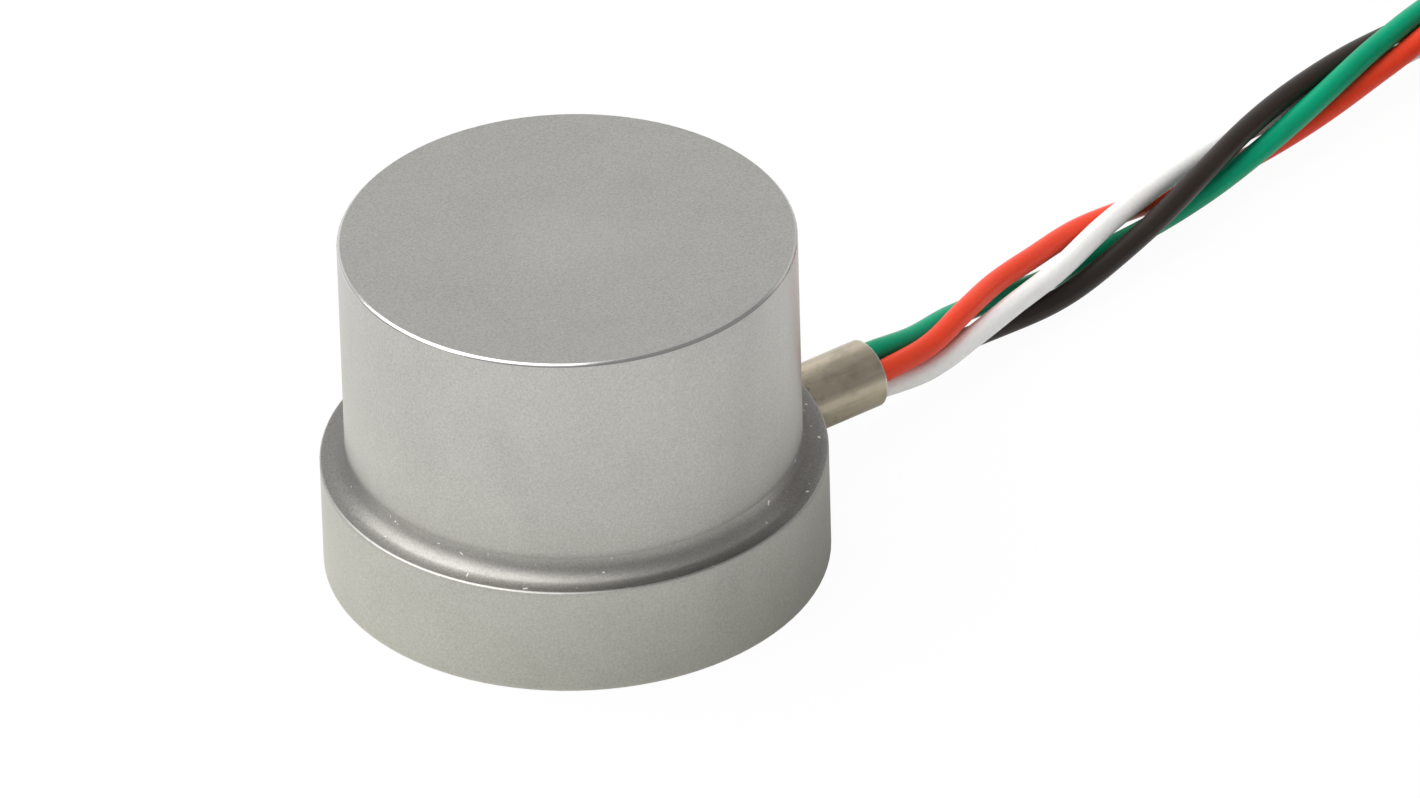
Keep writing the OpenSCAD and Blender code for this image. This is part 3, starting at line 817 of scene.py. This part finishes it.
# floor, light and background
studio = {
    "floorSize": 4.0,
    "floorDrop": 0.02 * mm,
    "floorColour": (0.96, 0.96, 0.96),
    "cameraWhite": 0.96,           # share of plain paper that the camera sees on the floor
    "glossWhite": 0.80,            # share of it that metal sees there
    "paper": 1.00,                 # strength of that paper well away from the part
    "footShade": (0.37, 0.35),     # what it loses at the part's foot, and more of it on the right
    "footReach": (10 * mm, 28 * mm),
    "footColour": (1.0, 1.0, 0.90),
    "rightEnd": (22 * mm, 50 * mm),  # distances to the right between which the paper ends
    "rightDim": 0.6,
    "horizon": 0.41,               # world strength low down and high up
    "zenith": 1.30,
    "climb": (0.50, 0.95),         # heights between which it rises from one to the other
    "leftEdge": (0.25, -0.15),     # directions across, between which the left half begins
    "rightShade": 0.80,            # world strength on the right, as a share of the left's
    "backdrop": 0.72,              # strength of the paper that stands behind the part
    "backdropTop": (0.72, 0.58),   # heights between which it ends
    "backdropEdge": (0.15, 0.45),  # directions towards the back, between which it begins
    "aimHeight": 7 * mm,
    # name, degrees left of the camera, elevation, distance, width, height, strength
    "lamps": [
        ("keyLamp", 86, 56, 0.7, 0.88, 1.05, 5.3),
        ("backLamp", 168, 23, 0.1, 0.14, 0.05, 0.006),
    ],
}


def makeFloor():
    shape = bmesh.new()
    bmesh.ops.create_grid(shape, x_segments=1, y_segments=1, size=studio["floorSize"] / 2)
    bmesh.ops.translate(shape, verts=shape.verts, vec=(0, 0, -studio["floorDrop"]))
    material = bpy.data.materials.new("paleFloor")
    material.use_nodes = True
    tree = material.node_tree
    tree.nodes.remove(tree.nodes["Principled BSDF"])
    tap = Tap(tree)
    rays = [tap.add("ShaderNodeLightPath", out=name)
            for name in ("Is Camera Ray", "Is Glossy Ray", "Is Transmission Ray")]
    gloss, white = studio["glossWhite"], studio["cameraWhite"]
    seen = (rays[0] * white).larger(rays[1] * gloss).larger(rays[2] * gloss)
    plain = tap.add("ShaderNodeBsdfDiffuse", {}, {"Color": (*studio["floorColour"], 1)})
    # the paper is shaded round the part's foot, as its contact shadow would be
    place = tap.add("ShaderNodeTexCoord", out="Object")
    reach = tap.add("ShaderNodeVectorMath", {"operation": "LENGTH"}, {0: place}, "Value")
    right = cameraAxes(cameraView)[0]
    across = tap.add("ShaderNodeVectorMath", {"operation": "DOT_PRODUCT"},
                     {0: place, 1: (right.x, right.y, 0)}, "Value")
    allRound, toRight = studio["footShade"]
    foot = reach.fade(*reversed(studio["footReach"]))
    dim = studio["paper"] - foot * (across / reach * toRight + allRound)
    dim = dim - across.fade(*studio["rightEnd"]) * studio["rightDim"]
    colour = (foot - foot * rays[0]).choose((1.0, 1.0, 1.0), studio["footColour"])
    paper = tap.add("ShaderNodeEmission", {}, {"Color": colour, "Strength": rays[0].larger(dim)})
    both = tap.add("ShaderNodeMixShader", {}, {0: seen, 1: plain, 2: paper})
    tree.links.new(both.socket, tree.nodes["Material Output"].inputs["Surface"])
    addMesh("floor", shape, material)


def makeLamps():
    back = cameraAxes(cameraView)[2]
    toward = Vector((back.x, back.y, 0)).normalized()
    left = Vector((toward.y, -toward.x, 0))
    aim = Vector((0, 0, studio["aimHeight"]))
    for name, turn, rise, distance, width, height, strength in studio["lamps"]:
        turn, rise = math.radians(turn), math.radians(rise)
        level = toward * math.cos(turn) + left * math.sin(turn)
        away = level * math.cos(rise) + Vector((0, 0, math.sin(rise)))
        data = bpy.data.lights.new(name, "AREA")
        data.shape = "RECTANGLE"
        data.size, data.size_y = width, height
        data.energy = strength
        lamp = bpy.data.objects.new(name, data)
        lamp.location = aim + away * distance
        lamp.rotation_mode = "QUATERNION"
        lamp.rotation_quaternion = away.to_track_quat("Z", "Y")
        scene.collection.objects.link(lamp)


def makeWorld():
    right, _, back = cameraAxes(cameraView)
    world = bpy.data.worlds.new("studio")
    scene.world = world
    world.use_nodes = True
    tree = world.node_tree
    tap = Tap(tree)
    camera = tap.add("ShaderNodeLightPath", out="Is Camera Ray")
    ray = tap.add("ShaderNodeTexCoord", out="Generated")
    height = tap.add("ShaderNodeSeparateXYZ", {}, {0: ray}, "Z")
    across = tap.add("ShaderNodeVectorMath", {"operation": "DOT_PRODUCT"},
                     {0: ray, 1: (right.x, right.y, 0)}, "Value")
    toLeft = across.fade(*studio["leftEdge"])
    light = height.fade(*studio["climb"]) * toLeft * (studio["zenith"] - studio["horizon"])
    light = (light + studio["horizon"]) * (toLeft * (1 - studio["rightShade"]) + studio["rightShade"])
    behind = tap.add("ShaderNodeVectorMath", {"operation": "DOT_PRODUCT"},
                     {0: ray, 1: (-back.x, -back.y, 0)}, "Value")
    backdrop = behind.fade(*studio["backdropEdge"]) * height.fade(*studio["backdropTop"])
    strength = camera.larger(light.larger(backdrop * studio["backdrop"]))
    background = tree.nodes["Background"]
    background.inputs["Color"].default_value = (1, 1, 1, 1)
    tree.links.new(strength.socket, background.inputs["Strength"])


makeFloor()
makeLamps()
makeWorld()
print("floor, lamps and world set")
